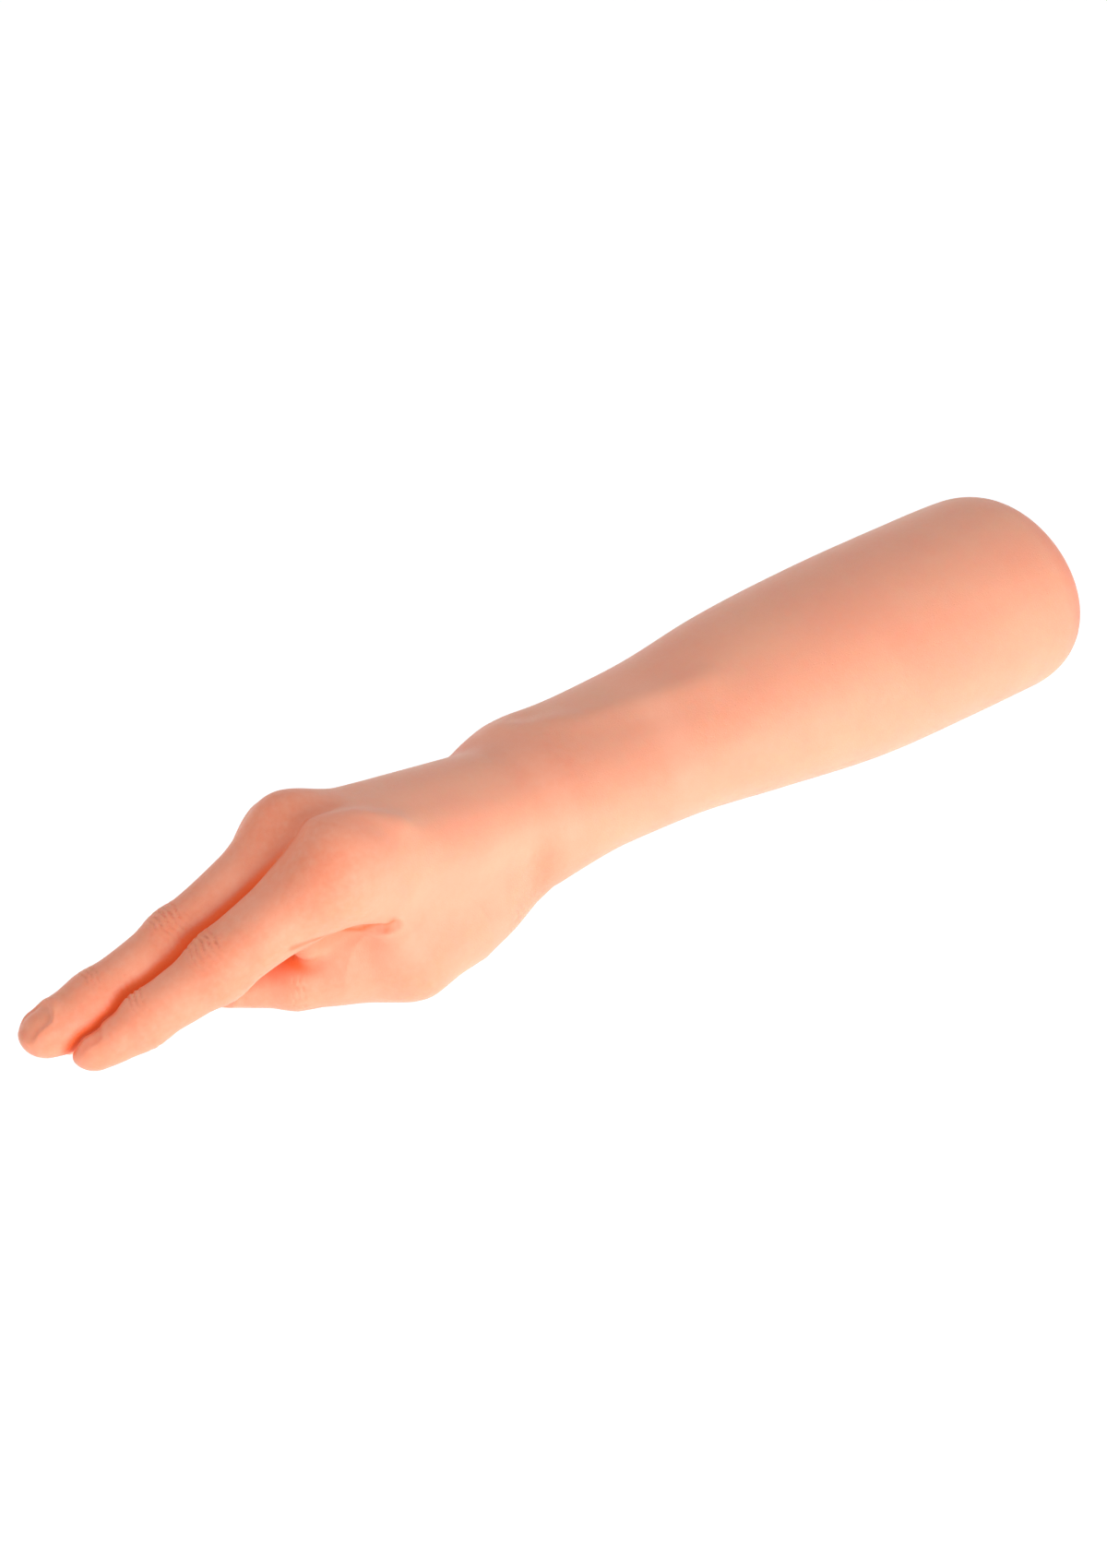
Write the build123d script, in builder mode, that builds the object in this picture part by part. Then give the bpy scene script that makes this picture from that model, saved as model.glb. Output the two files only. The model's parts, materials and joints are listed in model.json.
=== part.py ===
"""Passive posable prosthetic hand and forearm, right side, palm down.

A soft skin covers a metal armature. The forearm lies along X with its flat end at the origin, and the
fingers point along -X. Each finger has three hinges, the thumb has three and the wrist has one.
All lengths are millimetres and all angles degrees.
"""

from build123d import *
from dataclasses import dataclass
import math
import os

# ---- Driving dimensions ----------------------------------------------------------------------------

# Forearm: distance from the flat end, half width along Y, half height along Z.
FOREARM_SECTIONS = [
    (0, 36.0, 30.5),
    (20, 37.8, 32.0),
    (45, 38.5, 33.0),
    (80, 37.0, 32.0),
    (120, 33.5, 28.5),
    (150, 30.5, 24.6),
    (172, 29.0, 22.0),
    (205, 28.0, 20.0),
]
END_FILLET = 16.0
SKIN_WALL = 4.0
END_WALL = 12.0

# Wrist and palm. The palm rises from the wrist towards the knuckles.
WRIST = Vector(-188, 0, 0)
HAND_RISE = 11.0
WRIST_EXTENSION = 25.0
WRIST_FLEXION = 45.0
# Palm: distance from the wrist, half width, half thickness, roll, centre offset across and up.
PALM_SECTIONS = [
    (-12, 28.2, 20.6, 0, 0.0, 0.0),
    (12, 29.0, 20.4, -4, 0.0, -0.5),
    (35, 33.5, 20.0, -12, 0.5, -3.0),
    (65, 37.0, 19.0, -20, 1.5, -6.5),
    (104, 39.5, 17.5, -25, 2.5, -11.0),
]
PALM_WALL = 3.0

# Armature links: size across the hinge, height, tongue and fork, round relief, pin.
LINK_WIDTH = 6.0
LINK_HEIGHT = 7.0
TONGUE = 2.8
FORK_GAP = 3.0
RELIEF_RADIUS = 4.2
PIN_RADIUS = 1.25
PIN_CLEARANCE = 0.05
LINK_ROOM = 0.3
KNUCKLE_FORK = 10.0
ROD_RADIUS = 3.5
TIP_LINK_SETBACK = 6.5

# Soft segments: gap at a hinge, spare angle on each side of it, and width as a share of height.
HINGE_GAP = 0.5
SPARE_ANGLE = 1.5
SQUEEZE = 0.76
RELIEF_HEIGHT = 16.0
PALM_RELIEF_HEIGHT = 45.0

# Carpal block, in the palm's own directions: along, thickness, width.
BLOCK_START = 9.0
BLOCK_LENGTH = 16.0
BLOCK_THICKNESS = 13.0
BLOCK_WIDTH = 34.0
BLOCK_DEPTH = 8.0
BLOCK_FILLET = 2.5
ROD_SPACING = 8.6
SET_SCREW_RADIUS = 1.5

# Wrist hinge.
WRIST_EAR_RADIUS = 6.0
WRIST_TONGUE = 6.0
WRIST_PIN_RADIUS = 3.0
WASHER = 1.0
WASHER_GAP = 0.05
WRIST_EAR = 3.5
WRIST_FORK_BACK = 14.0

# Forearm tube and its end fittings.
TUBE_OUTER = 11.0
TUBE_INNER = 9.0
PLATE_THICKNESS = 4.0
PLATE_RADIUS = 21.0
TUBE_END = WRIST.X + WRIST_FORK_BACK + WRIST_EAR_RADIUS
BUSH_RADIUS = 11.0
BUSH_NECK = 16.0
THREAD_RADIUS = 5.1
SCREW_CIRCLE = 17.0
SCREW_RADIUS = 2.0
SCREW_HEAD = 3.8
SCREW_LENGTH = 16.0
CROSS_SCREW_RADIUS = 1.5


@dataclass
class Digit:
    """One finger: its knuckle, its sideways lean, and its three bones' lengths, dips and radii."""

    name: str
    knuckle: Vector
    lean: float
    lengths: tuple
    dips: tuple
    radii: tuple
    rod_slot: float


FINGERS = [
    Digit("index", Vector(-281.5, -24, 16.5), 8.5, (42.5, 25, 13), (27.5, 25, 20), (11.5, 9.9, 9.0, 7.6), -1.5),
    Digit("middle", Vector(-283.5, -4, 17), 4.5, (42.5, 27.5, 16.5), (27.5, 26, 15), (11.5, 10.2, 9.1, 7.4), -0.5),
    Digit("ring", Vector(-276, 14, 4.5), 0.5, (39.5, 26, 15), (31, 22, 12), (10.5, 9.0, 8.2, 7.1), 0.5),
    Digit("little", Vector(-262, 30.5, -9), -2.5, (32, 19, 14), (25, 17, 13), (9.5, 8.4, 7.6, 6.6), 1.5),
]
# Extension and flexion of the knuckle, middle and end hinges, measured from the rest pose.
FINGER_RANGES = ((40, 0), (5, 40), (5, 35))

THUMB_POINTS = [
    Vector(-212, -16, -15.5),
    Vector(-255, -26, -20.5),
    Vector(-290, -14, -21.7),
    Vector(-309, -2, -21.5),
]
THUMB_RADII = (10.0, 11.5, 9.2, 8.2)
# Opening and closing of the base, middle and end hinges of the thumb.
THUMB_RANGES = ((35, 0), (30, 0), (25, 0))
THUMB_POCKET = 0.9
THUMB_REACH = 60.0
KNUCKLE_ROOM = 14.0


# ---- Frames ----------------------------------------------------------------------------------------


def direction(dip, lean):
    """A bone's direction from its dip below the horizontal and its lean towards +Y."""
    d, s = math.radians(dip), math.radians(lean)
    return Vector(-math.cos(s) * math.cos(d), math.sin(s) * math.cos(d), -math.sin(d))


def hinge_axis(lean):
    """The hinge line of a finger that leans this much, pointing towards +Y."""
    s = math.radians(lean)
    return Vector(math.sin(s), math.cos(s), 0)


def bone_plane(start, along, axis):
    """Local X runs along the bone, local Y towards the back of the hand, local Z along the hinge."""
    return Plane(origin=start, x_dir=along, z_dir=axis)


def section_plane(bone, distance):
    """The cross-section of a bone plane at a distance from its start."""
    return Plane(origin=bone.origin + bone.x_dir * distance, x_dir=bone.z_dir, z_dir=bone.x_dir)


def digit_bones(digit):
    """The bone planes of a finger's three segments, from knuckle to tip."""
    bones, start = [], digit.knuckle
    for length, dip in zip(digit.lengths, digit.dips):
        along = direction(dip, digit.lean)
        bones.append(bone_plane(start, along, hinge_axis(digit.lean)))
        start = start + along * length
    return bones


def thumb_bones():
    """The thumb's bone planes. Its three segments lie in one plane, whose normal is the hinge line."""
    a, b, c, d = THUMB_POINTS
    axis = -(b - a).cross(d - b).normalized()
    return [bone_plane(p, (q - p).normalized(), axis) for p, q in ((a, b), (b, c), (c, d))]


def hand_plane():
    """Local X runs along the palm, local Y towards the back of the hand, local Z towards +Y."""
    return bone_plane(WRIST, direction(-HAND_RISE, 0), Vector(0, 1, 0))


# ---- Building blocks -------------------------------------------------------------------------------


def relief(parent, child, swing, side, reach, half_width, above=RELIEF_HEIGHT, below=RELIEF_HEIGHT):
    """The wedge of room at a hinge. Side 1 clears what lies before the child, -1 what lies past the parent."""
    along = (parent.x_dir + child.x_dir).normalized()
    frame = bone_plane(child.origin, along, child.z_dir)
    extension, flexion = swing
    back = HINGE_GAP + above * math.tan(math.radians(extension / 2 + SPARE_ANGLE))
    front = HINGE_GAP + below * math.tan(math.radians(flexion / 2 + SPARE_ANGLE))
    outline = [
        (side * HINGE_GAP, 0),
        (side * back, above),
        (-side * reach, above),
        (-side * reach, -below),
        (side * front, -below),
    ]
    with BuildPart() as wedge:
        with BuildSketch(frame):
            with BuildLine():
                Polyline(*outline, close=True)
            make_face()
        extrude(amount=half_width, both=True)
    return wedge.part


def link(bone, length, fork=True, tongue=True, room=0.0):
    """One flat armature link: a tongue on the near hinge and a fork on the far one. Room makes its pocket."""
    with BuildPart() as bar:
        with BuildSketch(bone):
            with Locations((length / 2, 0)):
                SlotCenterToCenter(length, LINK_HEIGHT + 2 * room)
        extrude(amount=LINK_WIDTH / 2 + room, both=True)
        if tongue and not room:
            for cheek in (1, -1):
                with BuildSketch(bone.offset(cheek * TONGUE / 2)):
                    Circle(RELIEF_RADIUS)
                extrude(amount=cheek * LINK_WIDTH, mode=Mode.SUBTRACT)
            with BuildSketch(bone):
                Circle(PIN_RADIUS + PIN_CLEARANCE)
            extrude(amount=LINK_WIDTH, both=True, mode=Mode.SUBTRACT)
        if fork and not room:
            with BuildSketch(bone):
                with Locations((length, 0)):
                    Circle(RELIEF_RADIUS)
            extrude(amount=FORK_GAP / 2, both=True, mode=Mode.SUBTRACT)
            with BuildSketch(bone):
                with Locations((length, 0)):
                    Circle(PIN_RADIUS)
            extrude(amount=LINK_WIDTH, both=True, mode=Mode.SUBTRACT)
    return bar.part


def pin(bone, radius=PIN_RADIUS, length=LINK_WIDTH):
    """A hinge pin across the start of a bone, flush with the fork's ears."""
    with BuildPart() as rod:
        with BuildSketch(bone):
            Circle(radius)
        extrude(amount=length / 2, both=True)
    return rod.part


def rod_between(start, end, radius):
    """A round rod from one point to another."""
    with BuildPart() as rod:
        with BuildSketch(Plane(origin=start, z_dir=end - start)):
            Circle(radius)
        extrude(amount=(end - start).length)
    return rod.part


def soft_segment(bone, length, start_radius, end_radius, tip=False):
    """The outer form of one finger segment, with a rounded end if it is a tip."""
    stations = [(0, start_radius), (length, end_radius)]
    if tip:
        stations += [(length + 0.5 * end_radius, 0.86 * end_radius), (length + 0.9 * end_radius, 0.4 * end_radius)]
    with BuildPart() as form:
        for distance, radius in stations:
            with BuildSketch(section_plane(bone, distance)):
                Ellipse(radius * SQUEEZE, radius)
        loft()
    return form.part


def skin_segment(bone, length, start_radius, end_radius, before, after, tip=False):
    """A soft segment with its link's channel and the room its two hinges need."""
    channel = (length + LINK_HEIGHT) * 2 if not tip else length - TIP_LINK_SETBACK
    with BuildPart() as skin:
        add(soft_segment(bone, length, start_radius, end_radius, tip))
        for wedge in (before, after):
            if wedge:
                add(wedge, mode=Mode.SUBTRACT)
        if tip:
            add(link(bone, channel, room=LINK_ROOM), mode=Mode.SUBTRACT)
        else:
            with BuildSketch(bone):
                Rectangle(channel, LINK_HEIGHT + 2 * LINK_ROOM)
            extrude(amount=LINK_WIDTH / 2 + LINK_ROOM, both=True, mode=Mode.SUBTRACT)
    return skin.part


def save(part, name):
    """Labels a finished piece and writes it."""
    part.label = name
    export_step(part, f"parts/{name}.step")


# ---- Digits ----------------------------------------------------------------------------------------


def build_digit(name, bones, lengths, radii, ranges, names, parent_plane):
    """Writes a digit's links, its own pins and its soft segments. The first hinge's pin stays with the palm."""
    wide = max(radii) + 2
    parents = [parent_plane] + bones[:-1]
    for i, bone in enumerate(bones):
        tip = i == len(bones) - 1
        segment = f"{name}_{names[i]}"
        link_length = lengths[i] - TIP_LINK_SETBACK if tip else lengths[i]
        save(link(bone, link_length, fork=not tip), f"{segment}_link")
        if i:
            save(pin(bone), f"{name}_{names[i - 1]}_pin")
        before = relief(parents[i], bone, ranges[i], 1, RELIEF_HEIGHT, wide)
        after = None
        if not tip:
            after = relief(bone, bones[i + 1], ranges[i + 1], -1, RELIEF_HEIGHT, wide)
        save(skin_segment(bone, lengths[i], radii[i], radii[i + 1], before, after, tip), f"{segment}_skin")


def build_fingers():
    for digit in FINGERS:
        parent = bone_plane(digit.knuckle, direction(-HAND_RISE, digit.lean), hinge_axis(digit.lean))
        build_digit(
            digit.name,
            digit_bones(digit),
            digit.lengths,
            digit.radii,
            FINGER_RANGES,
            ("proximal", "middle", "distal"),
            parent,
        )


def build_thumb():
    bones = thumb_bones()
    lengths = [(q - p).length for p, q in zip(THUMB_POINTS, THUMB_POINTS[1:])]
    build_digit(
        "thumb", bones, lengths, THUMB_RADII, THUMB_RANGES, ("metacarpal", "proximal", "distal"), bones[0]
    )


# ---- Palm ------------------------------------------------------------------------------------------


def metacarpal(digit, room=0.0):
    """A rod from the carpal block that ends in a fork square to its finger's hinge."""
    along = direction(-HAND_RISE, digit.lean)
    fork_start = digit.knuckle - along * KNUCKLE_FORK
    fork_bone = bone_plane(fork_start, along, hinge_axis(digit.lean))
    hand = hand_plane()
    root = hand.from_local_coords(
        Vector(BLOCK_START + BLOCK_LENGTH - BLOCK_DEPTH, 0, digit.rod_slot * ROD_SPACING)
    )
    with BuildPart() as bone:
        add(rod_between(root, fork_start, ROD_RADIUS + room))
        add(link(fork_bone, KNUCKLE_FORK, tongue=False, room=room))
    return bone.part


def thumb_bracket(room=0.0):
    """The bent rod and fork that carry the thumb's base hinge under the carpal block."""
    bone = thumb_bones()[0]
    fork_start = bone.origin - bone.x_dir * KNUCKLE_FORK
    fork_bone = bone_plane(fork_start, bone.x_dir, bone.z_dir)
    root = hand_plane().from_local_coords(Vector(BLOCK_START + 3, -BLOCK_THICKNESS / 2, -BLOCK_WIDTH / 4))
    with BuildPart() as bracket:
        add(rod_between(root, fork_start, ROD_RADIUS + room))
        add(link(fork_bone, KNUCKLE_FORK, tongue=False, room=room))
        if not room:
            add(carpal_body(), mode=Mode.SUBTRACT)
    return bracket.part


def carpal_body():
    """The plain outline of the carpal block with its wrist tongue."""
    hand = hand_plane()
    with BuildPart() as block:
        with BuildSketch(hand):
            with Locations((BLOCK_START + BLOCK_LENGTH / 2, 0)):
                Rectangle(BLOCK_LENGTH, BLOCK_THICKNESS)
        extrude(amount=BLOCK_WIDTH / 2, both=True)
        fillet(block.edges().filter_by(Axis(hand.origin, hand.x_dir)), BLOCK_FILLET)
        with BuildSketch(hand):
            with Locations((BLOCK_START / 2, 0)):
                SlotCenterToCenter(BLOCK_START, 2 * WRIST_EAR_RADIUS)
        extrude(amount=WRIST_TONGUE / 2, both=True)
    return block.part


def set_screws():
    """The four set screws that hold the metacarpal rods, one over each rod."""
    top = hand_plane().from_local_coords(Vector(0, BLOCK_THICKNESS / 2, 0))
    face = Plane(origin=top, x_dir=hand_plane().x_dir, z_dir=hand_plane().y_dir)
    with BuildPart() as screws:
        for digit in FINGERS:
            with BuildSketch(face):
                with Locations((BLOCK_START + BLOCK_LENGTH - BLOCK_DEPTH / 2, -digit.rod_slot * ROD_SPACING)):
                    Circle(SET_SCREW_RADIUS)
            extrude(amount=-(BLOCK_THICKNESS / 2))
        for digit in FINGERS:
            add(metacarpal(digit), mode=Mode.SUBTRACT)
    return screws.part


def build_carpals(screws):
    with BuildPart() as block:
        add(carpal_body())
        for digit in FINGERS:
            add(metacarpal(digit), mode=Mode.SUBTRACT)
        add(screws, mode=Mode.SUBTRACT)
        with BuildSketch(hand_plane()):
            Circle(WRIST_PIN_RADIUS + PIN_CLEARANCE)
        extrude(amount=BLOCK_WIDTH, both=True, mode=Mode.SUBTRACT)
    save(block.part, "carpal_block")
    save(screws, "rod_set_screws")
    save(thumb_bracket(), "thumb_bracket")
    for digit in FINGERS:
        save(metacarpal(digit), f"{digit.name}_metacarpal_rod")
    with BuildPart() as pins:
        for digit in FINGERS:
            add(pin(digit_bones(digit)[0]))
        add(pin(thumb_bones()[0]))
    save(pins.part, "knuckle_pins")


def palm_form(inset):
    """The palm's smooth outer form, or its inner one when inset."""
    hand = hand_plane()
    with BuildPart() as form:
        for distance, width, height, roll, across, up in PALM_SECTIONS:
            centre = hand.from_local_coords(Vector(distance, up, across))
            section = Plane(origin=centre, x_dir=hand.z_dir, z_dir=-hand.x_dir)
            with BuildSketch(section):
                Ellipse(width - inset, height - inset, rotation=roll)
        loft()
    return form.part


def palm_reliefs():
    """Everything the palm's soft parts keep clear of: the wrist, the four knuckles and the thumb's sweep."""
    hand = hand_plane()
    forearm = bone_plane(WRIST, Vector(-1, 0, 0), Vector(0, 1, 0))
    wedges = [wrist_relief(forearm, hand, 1), wrist_barrel()]
    for digit in FINGERS:
        bone = digit_bones(digit)[0]
        parent = bone_plane(digit.knuckle, direction(-HAND_RISE, digit.lean), bone.z_dir)
        height = PALM_RELIEF_HEIGHT
        wedges.append(relief(parent, bone, FINGER_RANGES[0], -1, height, KNUCKLE_ROOM, height, height))
    bone = thumb_bones()[0]
    sweep = max(THUMB_RADII) + THUMB_POCKET
    wedges.append(relief(bone, bone, THUMB_RANGES[0], -1, THUMB_REACH, sweep, PALM_RELIEF_HEIGHT, sweep))
    return wedges


def wrist_barrel():
    """The round room in the palm's soft parts for the wrist fork's ears and the pin."""
    half_width = WRIST_TONGUE / 2 + WASHER + 2 * WASHER_GAP + WRIST_EAR
    with BuildPart() as barrel:
        with BuildSketch(hand_plane()):
            Circle(WRIST_EAR_RADIUS + 1)
        extrude(amount=half_width + 1, both=True)
    return barrel.part


def build_palm():
    wedges = palm_reliefs()
    armature = [metacarpal(digit, room=LINK_ROOM) for digit in FINGERS] + [thumb_bracket(room=LINK_ROOM)]
    with BuildPart() as skin:
        add(palm_form(0))
        add(palm_form(PALM_WALL), mode=Mode.SUBTRACT)
        for wedge in wedges + armature:
            add(wedge, mode=Mode.SUBTRACT)
    save(skin.part, "palm_skin")
    with BuildPart() as filler:
        add(palm_form(PALM_WALL))
        for wedge in wedges + armature + [carpal_body()]:
            add(wedge, mode=Mode.SUBTRACT)
    save(filler.part, "palm_filler")


# ---- Forearm ---------------------------------------------------------------------------------------


def wrist_relief(parent, child, side):
    """The wrist's wedge of room, tall and wide enough for the whole forearm."""
    along = (parent.x_dir + child.x_dir).normalized()
    frame = bone_plane(WRIST, along, Vector(0, 1, 0))
    height = 40
    back = 1 + height * math.tan(math.radians(WRIST_EXTENSION / 2 + SPARE_ANGLE))
    front = 1 + height * math.tan(math.radians(WRIST_FLEXION / 2 + SPARE_ANGLE))
    outline = [
        (side * 1, 0),
        (side * back, height),
        (-side * height, height),
        (-side * height, -height),
        (side * front, -height),
    ]
    with BuildPart() as wedge:
        with BuildSketch(frame):
            with BuildLine():
                Polyline(*outline, close=True)
            make_face()
        extrude(amount=height, both=True)
    return wedge.part


def forearm_form(inset, start):
    """The forearm's outer form, or its inner one when inset, from a distance before the flat end."""
    stations = [(d, w, h) for d, w, h in FOREARM_SECTIONS if d > start]
    first = (start, FOREARM_SECTIONS[0][1], FOREARM_SECTIONS[0][2])
    with BuildPart() as form:
        for distance, width, height in [first] + stations:
            with BuildSketch(Plane(origin=(-distance, 0, 0), x_dir=(0, 1, 0), z_dir=(-1, 0, 0))):
                Ellipse(width - inset, height - inset)
        loft()
        flat = form.faces().sort_by(Axis.X)[-1]
        if not inset:
            fillet(flat.edges(), END_FILLET)
    return form.part


def end_screws():
    """Three countersunk screws through the end plate into the filler."""
    with BuildPart() as screws:
        with BuildSketch(Plane(origin=(-END_WALL, 0, 0), x_dir=(0, 1, 0), z_dir=(-1, 0, 0))):
            with PolarLocations(SCREW_CIRCLE, 3):
                Circle(SCREW_RADIUS)
        extrude(amount=SCREW_LENGTH)
        with BuildSketch(Plane(origin=(-END_WALL, 0, 0), x_dir=(0, 1, 0), z_dir=(-1, 0, 0))):
            with PolarLocations(SCREW_CIRCLE, 3):
                Circle(SCREW_HEAD)
        extrude(amount=SCREW_HEAD - SCREW_RADIUS, taper=45)
    return screws.part


def cross_screws():
    """Two screws that lock the wrist fork inside the forearm tube."""
    with BuildPart() as screws:
        for side in (1, -1):
            with BuildSketch(Plane(origin=(TUBE_END + 8, side * (TUBE_OUTER - 0.2), 0), z_dir=(0, -side, 0))):
                Circle(CROSS_SCREW_RADIUS)
            extrude(amount=TUBE_OUTER - 4)
    return screws.part


def build_forearm():
    hand = hand_plane()
    forearm = bone_plane(WRIST, Vector(-1, 0, 0), Vector(0, 1, 0))
    wrist_room = wrist_relief(forearm, hand, -1)
    plate_back = -END_WALL - PLATE_THICKNESS
    with BuildPart() as bush:
        with BuildSketch(Plane.YZ):
            Circle(BUSH_RADIUS)
        extrude(amount=-END_WALL)
        with BuildSketch(Plane.YZ.offset(-END_WALL)):
            Circle(TUBE_INNER)
        extrude(amount=-PLATE_THICKNESS - BUSH_NECK)
        with BuildSketch(Plane.YZ):
            Circle(THREAD_RADIUS)
        extrude(amount=-END_WALL - PLATE_THICKNESS - BUSH_NECK, mode=Mode.SUBTRACT)
    save(bush.part, "mounting_bush")

    screws = end_screws()
    save(screws, "end_plate_screws")
    with BuildPart() as plate:
        with BuildSketch(Plane.YZ.offset(-END_WALL)):
            Circle(PLATE_RADIUS)
            Circle(TUBE_INNER, mode=Mode.SUBTRACT)
        extrude(amount=-PLATE_THICKNESS)
        add(screws, mode=Mode.SUBTRACT)
    save(plate.part, "end_plate")

    locks = cross_screws()
    save(locks, "tube_cross_screws")
    with BuildPart() as tube:
        with BuildSketch(Plane.YZ.offset(plate_back)):
            Circle(TUBE_OUTER)
            Circle(TUBE_INNER, mode=Mode.SUBTRACT)
        extrude(amount=TUBE_END - plate_back)
        add(locks, mode=Mode.SUBTRACT)
    save(tube.part, "forearm_tube")

    gap = WRIST_TONGUE / 2 + WASHER + 2 * WASHER_GAP
    with BuildPart() as fork:
        with BuildSketch(forearm):
            with Locations((-WRIST_FORK_BACK / 2, 0)):
                SlotCenterToCenter(WRIST_FORK_BACK, 2 * WRIST_EAR_RADIUS)
        extrude(amount=gap + WRIST_EAR, both=True)
        with BuildSketch(Plane.YZ.offset(WRIST.X + WRIST_FORK_BACK)):
            Circle(TUBE_INNER)
        extrude(amount=18)
        with BuildSketch(forearm):
            with Locations((-1, 0)):
                SlotCenterToCenter(9, 2 * WRIST_EAR_RADIUS + 6)
        extrude(amount=gap, both=True, mode=Mode.SUBTRACT)
        with BuildSketch(forearm):
            Circle(WRIST_PIN_RADIUS)
        extrude(amount=4 * gap, both=True, mode=Mode.SUBTRACT)
        add(locks, mode=Mode.SUBTRACT)
    save(fork.part, "wrist_fork")
    save(pin(forearm, WRIST_PIN_RADIUS, 2 * (gap + WRIST_EAR)), "wrist_pin")
    with BuildPart() as washers:
        for side in (1, -1):
            with BuildSketch(forearm.offset(side * (WRIST_TONGUE / 2 + WASHER_GAP))):
                Circle(WRIST_EAR_RADIUS)
                Circle(WRIST_PIN_RADIUS + PIN_CLEARANCE, mode=Mode.SUBTRACT)
            extrude(amount=side * WASHER)
    save(washers.part, "wrist_washers")

    with BuildPart() as skin:
        add(forearm_form(0, 0))
        add(forearm_form(SKIN_WALL, END_WALL), mode=Mode.SUBTRACT)
        add(wrist_room, mode=Mode.SUBTRACT)
        with BuildSketch(Plane.YZ):
            Circle(BUSH_RADIUS)
        extrude(amount=-END_WALL, mode=Mode.SUBTRACT)
    save(skin.part, "forearm_skin")
    with BuildPart() as filler:
        add(forearm_form(SKIN_WALL, END_WALL))
        add(wrist_room, mode=Mode.SUBTRACT)
        with BuildSketch(Plane.YZ.offset(-END_WALL)):
            Circle(PLATE_RADIUS)
        extrude(amount=-PLATE_THICKNESS, mode=Mode.SUBTRACT)
        with BuildSketch(Plane.YZ):
            Circle(TUBE_OUTER)
        extrude(amount=2 * WRIST.X, mode=Mode.SUBTRACT)
        add(screws, mode=Mode.SUBTRACT)
    save(filler.part, "forearm_filler")


os.makedirs("parts", exist_ok=True)
build_forearm()
build_carpals(set_screws())
build_palm()
build_fingers()
build_thumb()
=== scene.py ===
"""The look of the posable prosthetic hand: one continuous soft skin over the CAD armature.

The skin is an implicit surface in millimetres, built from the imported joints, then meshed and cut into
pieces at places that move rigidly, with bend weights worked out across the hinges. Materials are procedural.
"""

import json
import math
from concurrent.futures import ThreadPoolExecutor

import bpy
import numpy as np
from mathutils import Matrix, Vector
from mathutils.kdtree import KDTree


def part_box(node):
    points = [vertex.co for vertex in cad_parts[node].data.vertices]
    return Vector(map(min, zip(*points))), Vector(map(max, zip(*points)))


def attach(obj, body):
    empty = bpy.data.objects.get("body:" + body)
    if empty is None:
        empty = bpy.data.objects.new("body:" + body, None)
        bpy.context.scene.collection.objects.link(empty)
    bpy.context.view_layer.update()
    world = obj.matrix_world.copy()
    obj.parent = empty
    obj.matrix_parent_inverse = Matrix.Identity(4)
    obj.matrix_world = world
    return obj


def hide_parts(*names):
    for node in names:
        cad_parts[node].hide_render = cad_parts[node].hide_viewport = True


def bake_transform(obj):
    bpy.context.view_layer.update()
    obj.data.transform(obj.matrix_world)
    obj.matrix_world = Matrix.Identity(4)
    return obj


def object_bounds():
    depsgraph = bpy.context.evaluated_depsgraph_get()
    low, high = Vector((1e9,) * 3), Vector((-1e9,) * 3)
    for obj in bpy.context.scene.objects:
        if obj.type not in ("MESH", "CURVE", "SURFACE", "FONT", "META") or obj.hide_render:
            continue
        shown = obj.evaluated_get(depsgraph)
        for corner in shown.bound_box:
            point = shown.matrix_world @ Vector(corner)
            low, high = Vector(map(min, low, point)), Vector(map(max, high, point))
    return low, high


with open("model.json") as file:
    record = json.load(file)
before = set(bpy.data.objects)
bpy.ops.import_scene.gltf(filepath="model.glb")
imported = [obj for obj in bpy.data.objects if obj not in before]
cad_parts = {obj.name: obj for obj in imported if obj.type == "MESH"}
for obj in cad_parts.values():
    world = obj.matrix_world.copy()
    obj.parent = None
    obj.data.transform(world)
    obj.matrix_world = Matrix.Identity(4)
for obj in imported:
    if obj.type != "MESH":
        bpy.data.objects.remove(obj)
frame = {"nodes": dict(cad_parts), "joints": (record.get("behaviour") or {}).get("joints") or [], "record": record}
CAD_BOX = [list(corner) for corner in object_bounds()]

# ---- Joints and digits, in millimetres.

MM = 1000.0
JOINTS = {j["name"]: np.array(j["pos_m"]) * MM for j in frame["joints"]}
AXES = {j["name"]: np.array(j["axis"], float) for j in frame["joints"]}
DIGITS = ("index", "middle", "ring", "little", "thumb")
_, Y, Z = np.eye(3)

# From the last link's outermost corner to the centre of its round end, and on to the fingertip's centre.
LINK_END = 3.5
TIP_REACH = 6.5


def unit(v):
    return v / np.linalg.norm(v)


def box_mm(node):
    """A CAD node's lowest and highest corners in millimetres."""
    low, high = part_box(node)
    return np.array(low) * MM, np.array(high) * MM


def link_points(name):
    """The three joints of a digit and the end of its last armature link."""
    words = ("base", "middle", "end") if name == "thumb" else ("knuckle", "middle", "end")
    points = [JOINTS[f"{name}_{word}_bend"] for word in words]
    low, high = box_mm(f"{name}_distal_link")
    end = low + LINK_END
    if name == "thumb":
        end[1], end[2] = high[1] - LINK_END, (low[2] + high[2]) / 2
    else:
        lean = unit(points[2] - points[0])
        end[1] = points[2][1] + (end[0] - points[2][0]) * lean[1] / lean[0]
    return points + [end]


def digit_points(name):
    """The three joints of a digit and the centre of its round tip."""
    points = link_points(name)
    points[3] = points[3] + unit(points[3] - points[2]) * TIP_REACH
    return points


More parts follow.
